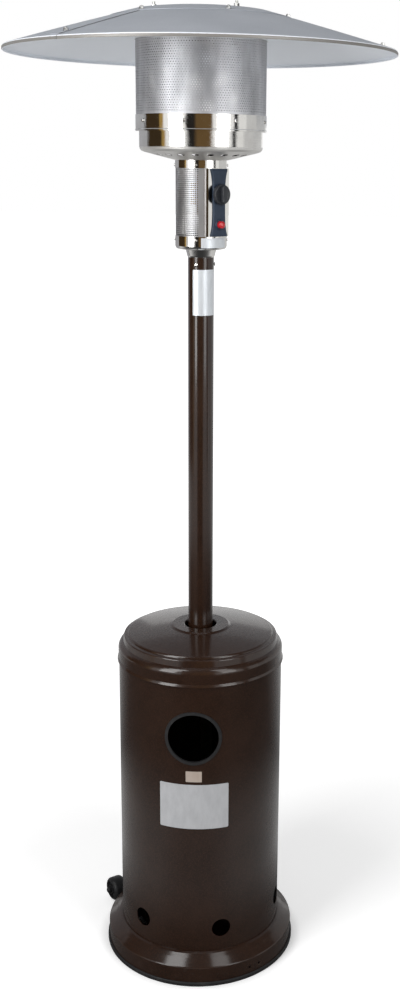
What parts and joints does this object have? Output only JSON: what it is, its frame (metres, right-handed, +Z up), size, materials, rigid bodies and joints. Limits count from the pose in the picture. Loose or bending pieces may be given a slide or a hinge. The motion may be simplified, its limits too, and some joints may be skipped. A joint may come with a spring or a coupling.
{
  "type": "gas patio heater",
  "caption": "Free-standing gas patio heater: round base, lifting tank housing, slim post, control head with knob and igniter, perforated burner drum and wide dish reflector.",
  "frame": {"origin": "on the floor, at the middle of the base", "axes": "+Z up along the post, -Y towards the hand hole of the tank housing"},
  "size_m": [0.813, 0.813, 2.159],
  "materials": {
    "brown_paint": "dark brown hammered paint, glossy",
    "black_rubber": "matt black edging",
    "zinc_steel": "zinc plated steel",
    "polished_steel": "polished stainless steel",
    "brushed_steel": "dull stainless sheet",
    "aluminium_sheet": "satin aluminium sheet",
    "brass": "plain brass",
    "black_plastic": "moulded black plastic",
    "slate_plastic": "dark blue-grey moulded plastic",
    "red_plastic": "glossy red plastic",
    "ivory_ceramic": "unglazed insulator"
  },
  "bodies": {
    "stand": {"base_pan": "brown_paint", "base_edging": "black_rubber", "support_leg_right": "zinc_steel", "support_leg_rear": "zinc_steel", "support_leg_left": "zinc_steel", "leg_bolts": "zinc_steel", "post_plate": "zinc_steel", "post_flange": "zinc_steel", "flange_bolts": "zinc_steel", "post": "brown_paint", "gas_pipe": "brass", "hose_nipple": "brass", "wheel_bracket": "zinc_steel", "bracket_bolts": "zinc_steel", "wheel_axle": "zinc_steel", "axle_spacers": "zinc_steel", "axle_caps": "zinc_steel", "head_socket": "polished_steel", "post_screws": "polished_steel", "foot_ring": "polished_steel", "guard_screen": "brushed_steel", "front_plate": "polished_steel", "crown_ring": "polished_steel", "head_screws": "polished_steel", "control_panel": "slate_plastic", "gas_valve": "brass", "igniter_body": "black_plastic", "tilt_switch": "black_plastic", "mixing_tube": "brushed_steel", "burner_cup": "brushed_steel", "burner_gauze": "brushed_steel", "pilot_tube": "brass", "pilot_burner": "brushed_steel", "thermocouple": "brushed_steel", "spark_electrode": "ivory_ceramic", "burner_bowl": "polished_steel", "burner_band": "polished_steel", "band_screws": "polished_steel", "emitter_screen": "brushed_steel", "emitter_lid": "brushed_steel", "reflector_studs": "zinc_steel", "stud_spacers": "zinc_steel", "stud_nuts": "zinc_steel", "reflector_centre": "aluminium_sheet", "reflector_panel_front": "aluminium_sheet", "reflector_panel_right": "aluminium_sheet", "reflector_panel_left": "aluminium_sheet", "seam_bolts": "zinc_steel"},
    "housing": {"tank_housing": "brown_paint", "hole_edging": "black_rubber", "housing_cap": "brown_paint"},
    "plunger": {"valve_plunger": "brass"},
    "knob": {"control_knob": "black_plastic", "valve_spindle": "brass"},
    "button": {"igniter_button": "red_plastic"},
    "left_wheel": {"wheel_left": "black_plastic"},
    "right_wheel": {"wheel_right": "black_plastic"}
  },
  "joints": [
    {"name": "housing_lift", "type": "slide", "parent": "stand", "child": "housing", "axis": [0, 0, 1], "range_m": [0, 0.62]},
    {"name": "knob_push", "type": "slide", "parent": "stand", "child": "plunger", "axis": [-0.682, 0.7314, 0], "range_m": [0, 0.004], "stiffness_N_per_m": 900},
    {"name": "knob_turn", "type": "hinge", "parent": "plunger", "child": "knob", "pos_m": [0, 0, 1.7794], "axis": [0.682, -0.7314, 0], "range_deg": [0, 210]},
    {"name": "igniter_press", "type": "slide", "parent": "stand", "child": "button", "axis": [-0.682, 0.7314, 0], "range_m": [0, 0.005], "stiffness_N_per_m": 700},
    {"name": "left_wheel_spin", "type": "hinge", "parent": "stand", "child": "left_wheel", "pos_m": [-0.13688, 0.1884, 0.031], "axis": [-0.809, -0.5878, 0], "continuous": true},
    {"name": "right_wheel_spin", "type": "hinge", "parent": "stand", "child": "right_wheel", "pos_m": [-0.13688, 0.1884, 0.031], "axis": [-0.809, -0.5878, 0], "continuous": true}
  ]
}
